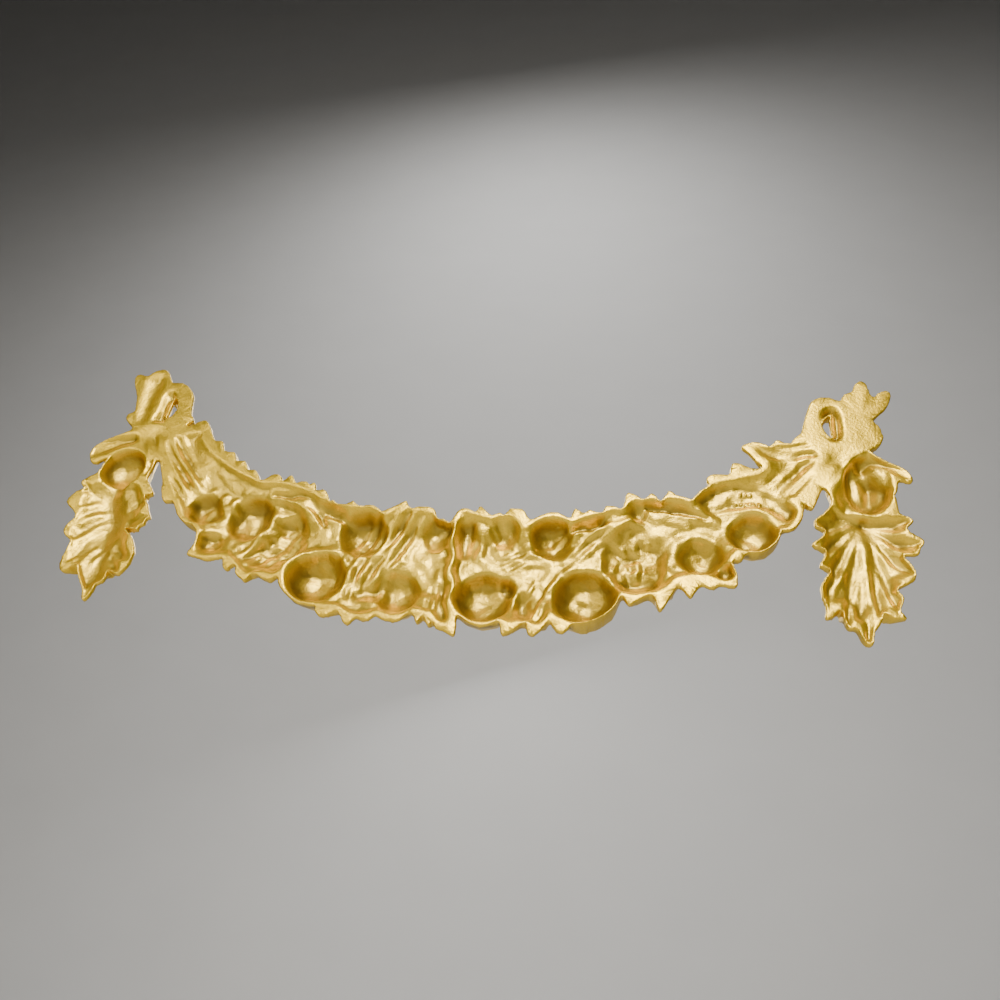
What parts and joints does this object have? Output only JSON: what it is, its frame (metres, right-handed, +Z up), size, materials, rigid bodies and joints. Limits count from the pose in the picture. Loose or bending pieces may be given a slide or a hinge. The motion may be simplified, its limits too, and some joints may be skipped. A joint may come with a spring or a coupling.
{
  "type": "festoon swag ornament",
  "caption": "Hollow-backed wall swag of fruit and leaves hung between two ribbon knots, with a leaf drop at each end.",
  "frame": {"origin": "on the flat back of the seam rib in the middle of the swag, in the wall plane", "axes": "+Y out of the back into the wall, +X along the swag, +Z up; the carved front looks along -Y"},
  "size_m": [0.5448, 0.027, 0.2025],
  "materials": {
    "gold_paint": "satin light gold paint, warmer and darker in the hollows, bright on the edges"
  },
  "bodies": {
    "root": {"festoon_casting": "gold_paint"}
  },
  "joints": []
}
